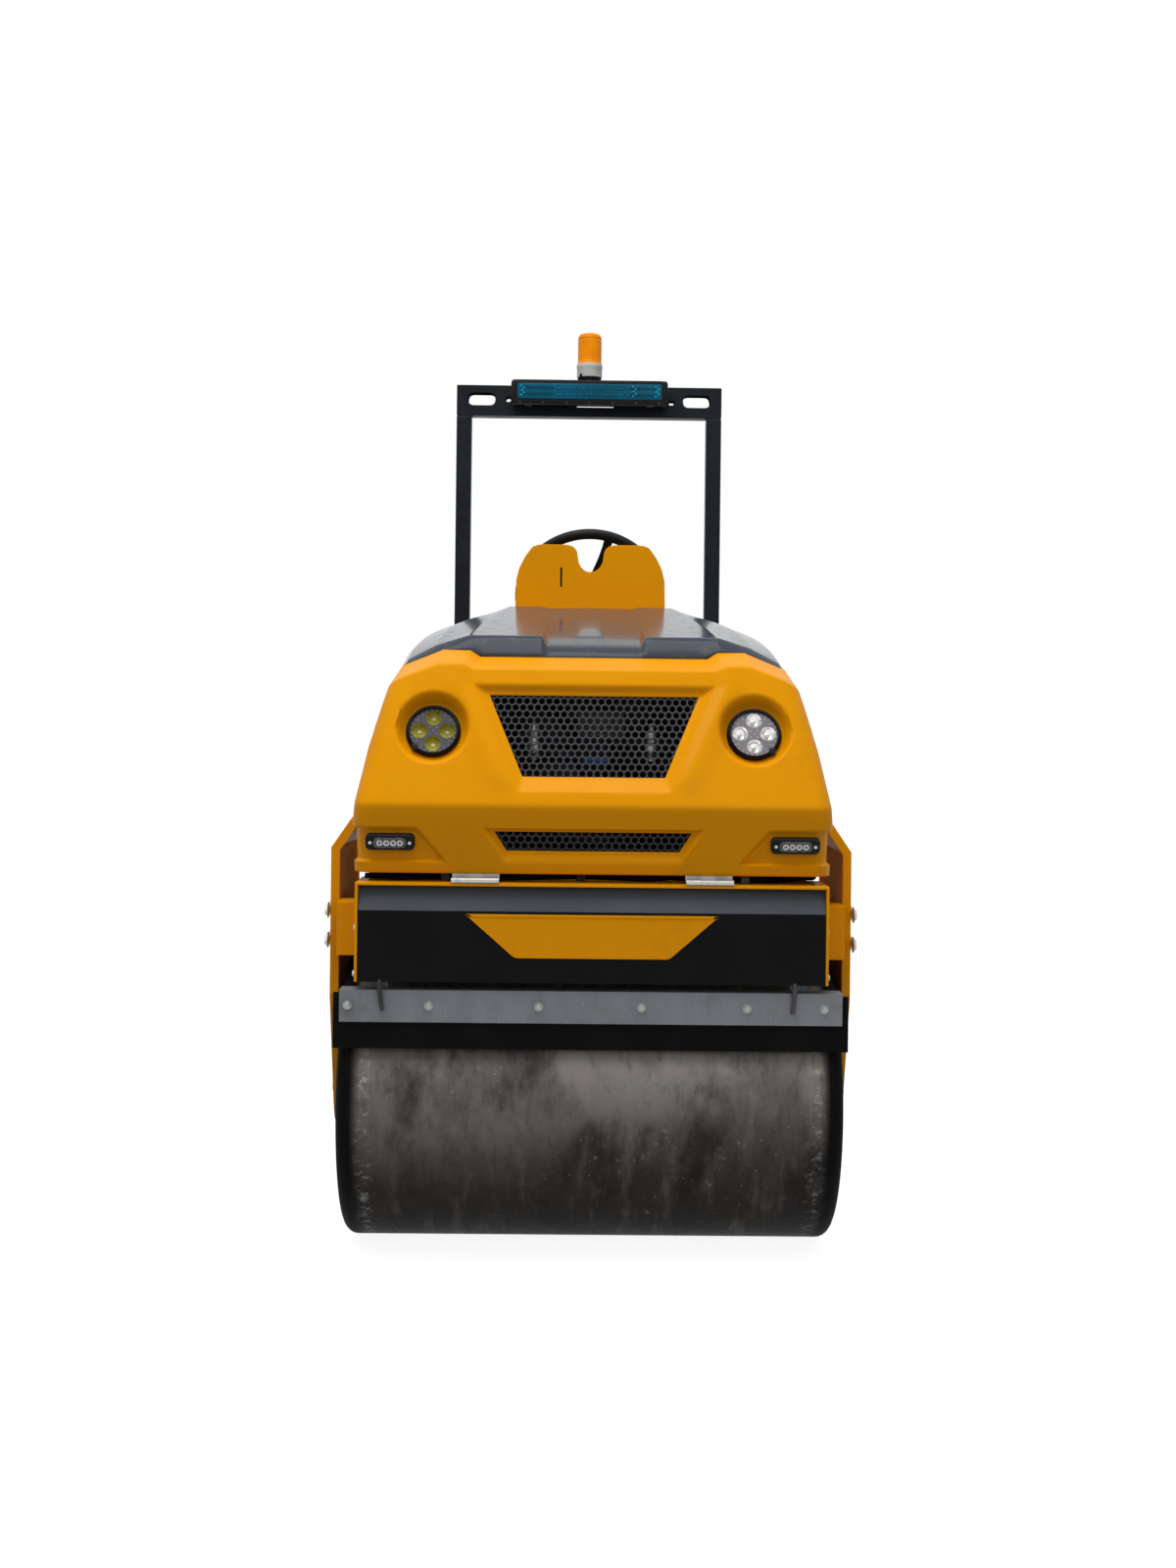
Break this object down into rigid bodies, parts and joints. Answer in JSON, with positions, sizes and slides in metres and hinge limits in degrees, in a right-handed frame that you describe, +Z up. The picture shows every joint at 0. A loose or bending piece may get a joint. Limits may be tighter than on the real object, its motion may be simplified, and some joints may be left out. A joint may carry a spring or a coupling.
{
  "type": "asphalt roller",
  "caption": "Small ride-on tandem roller with an articulated frame, smooth steel drums, a tilting engine hood, a roll frame and a driver's seat.",
  "frame": {"origin": "centre of the bounding box's base, on the floor under the steering pin", "axes": "+X to the right as seen from the engine end, -Y towards the engine end, +Z up"},
  "size_m": [0.952, 2.124, 2.027],
  "materials": {
    "paint_yellow": "glossy orange yellow machine paint",
    "paint_dark": "satin blue black powder coat",
    "paint_black": "satin black paint",
    "cover_slate": "high gloss slate grey moulding",
    "steel_worn": "worn rolled steel with scratches and a little rust",
    "steel_bright": "bright zinc plated steel",
    "rubber_black": "matte black rubber",
    "plastic_black": "grained black plastic",
    "cast_dark": "dark painted casting",
    "vinyl_black": "black seat vinyl",
    "lamp_clear": "clear lens over chromed cups",
    "lens_teal": "teal tinted lens",
    "lens_red": "red tail lens",
    "lens_amber": "translucent amber dome"
  },
  "bodies": {
    "rear_frame": {"rear_frame": "paint_yellow", "rear_arm_left": "paint_yellow", "rear_arm_right": "paint_yellow", "rear_crossbeam": "paint_yellow", "rear_tank": "paint_black", "rear_tank_cover": "paint_yellow", "rear_strip": "steel_worn", "rear_flap": "rubber_black", "rear_body": "paint_yellow", "platform": "paint_black", "console_body": "plastic_black", "console_plate": "paint_yellow", "steering_column": "paint_black", "seat_cushion": "vinyl_black", "seat_back": "vinyl_black", "travel_lever": "steel_bright", "rops_post_left": "paint_dark", "rops_post_right": "paint_dark", "rops_crossbar": "paint_dark", "light_bar": "paint_black", "light_bar_lens": "lens_teal", "beacon_base": "plastic_black", "beacon_dome": "lens_amber", "tail_lamp_left": "lens_red", "tail_lamp_right": "lens_red"},
    "front_frame": {"front_frame": "paint_yellow", "articulation_pin": "steel_bright", "front_arm_left": "paint_yellow", "front_arm_right": "paint_yellow", "front_crossbeam": "paint_yellow", "front_tank": "paint_black", "front_tank_cover": "paint_yellow", "badge_plate": "paint_yellow", "front_strip": "steel_worn", "front_flap": "rubber_black", "engine_block": "cast_dark", "radiator": "paint_black", "hinge_left": "steel_bright", "hinge_right": "steel_bright"},
    "hood": {"hood_shell": "paint_yellow", "hood_cover": "cover_slate", "grille_mesh": "paint_black", "vent_mesh": "paint_black", "headlamp_left": "lamp_clear", "headlamp_right": "lamp_clear", "strobe_left": "lamp_clear", "strobe_right": "lamp_clear", "hood_hinge_left": "steel_bright", "hood_hinge_right": "steel_bright"},
    "front_drum": {"front_drum": "steel_worn"},
    "rear_drum": {"rear_drum": "steel_worn"},
    "steering_wheel": {"steering_wheel": "plastic_black"},
    "cylinder_barrel": {"cylinder_barrel": "paint_black"},
    "cylinder_rod": {"cylinder_rod": "steel_bright"}
  },
  "joints": [
    {"name": "articulation", "type": "hinge", "parent": "rear_frame", "child": "front_frame", "pos_m": [0, 0, 0.5], "axis": [0, 0, 1], "range_deg": [-25, 25]},
    {"name": "front_drum_spin", "type": "hinge", "parent": "front_frame", "child": "front_drum", "pos_m": [0, -0.75, 0.28], "axis": [1, 0, 0], "continuous": true},
    {"name": "rear_drum_spin", "type": "hinge", "parent": "rear_frame", "child": "rear_drum", "pos_m": [0, 0.75, 0.28], "axis": [1, 0, 0], "continuous": true},
    {"name": "hood_tilt", "type": "hinge", "parent": "front_frame", "child": "hood", "pos_m": [0, -1.04, 0.6946], "axis": [1, 0, 0], "range_deg": [0, 60]},
    {"name": "steering_wheel_turn", "type": "hinge", "parent": "rear_frame", "child": "steering_wheel", "pos_m": [0, 0.055, 1.262], "axis": [0, 0.866, 0.5], "continuous": true},
    {"name": "cylinder_swing", "type": "hinge", "parent": "rear_frame", "child": "cylinder_barrel", "pos_m": [0.12, 0.23, 0.5], "axis": [0, 0, 1], "range_deg": [-10.5, 10.5]},
    {"name": "rod_slide", "type": "slide", "parent": "cylinder_barrel", "child": "cylinder_rod", "axis": [0, -1, 0], "range_m": [-0.054, 0.054]}
  ],
  "couplings": [
    {"joint": "cylinder_swing", "follows": "articulation", "ratio": 0.3923},
    {"joint": "rod_slide", "follows": "articulation", "m_per_rad": -0.1193}
  ]
}
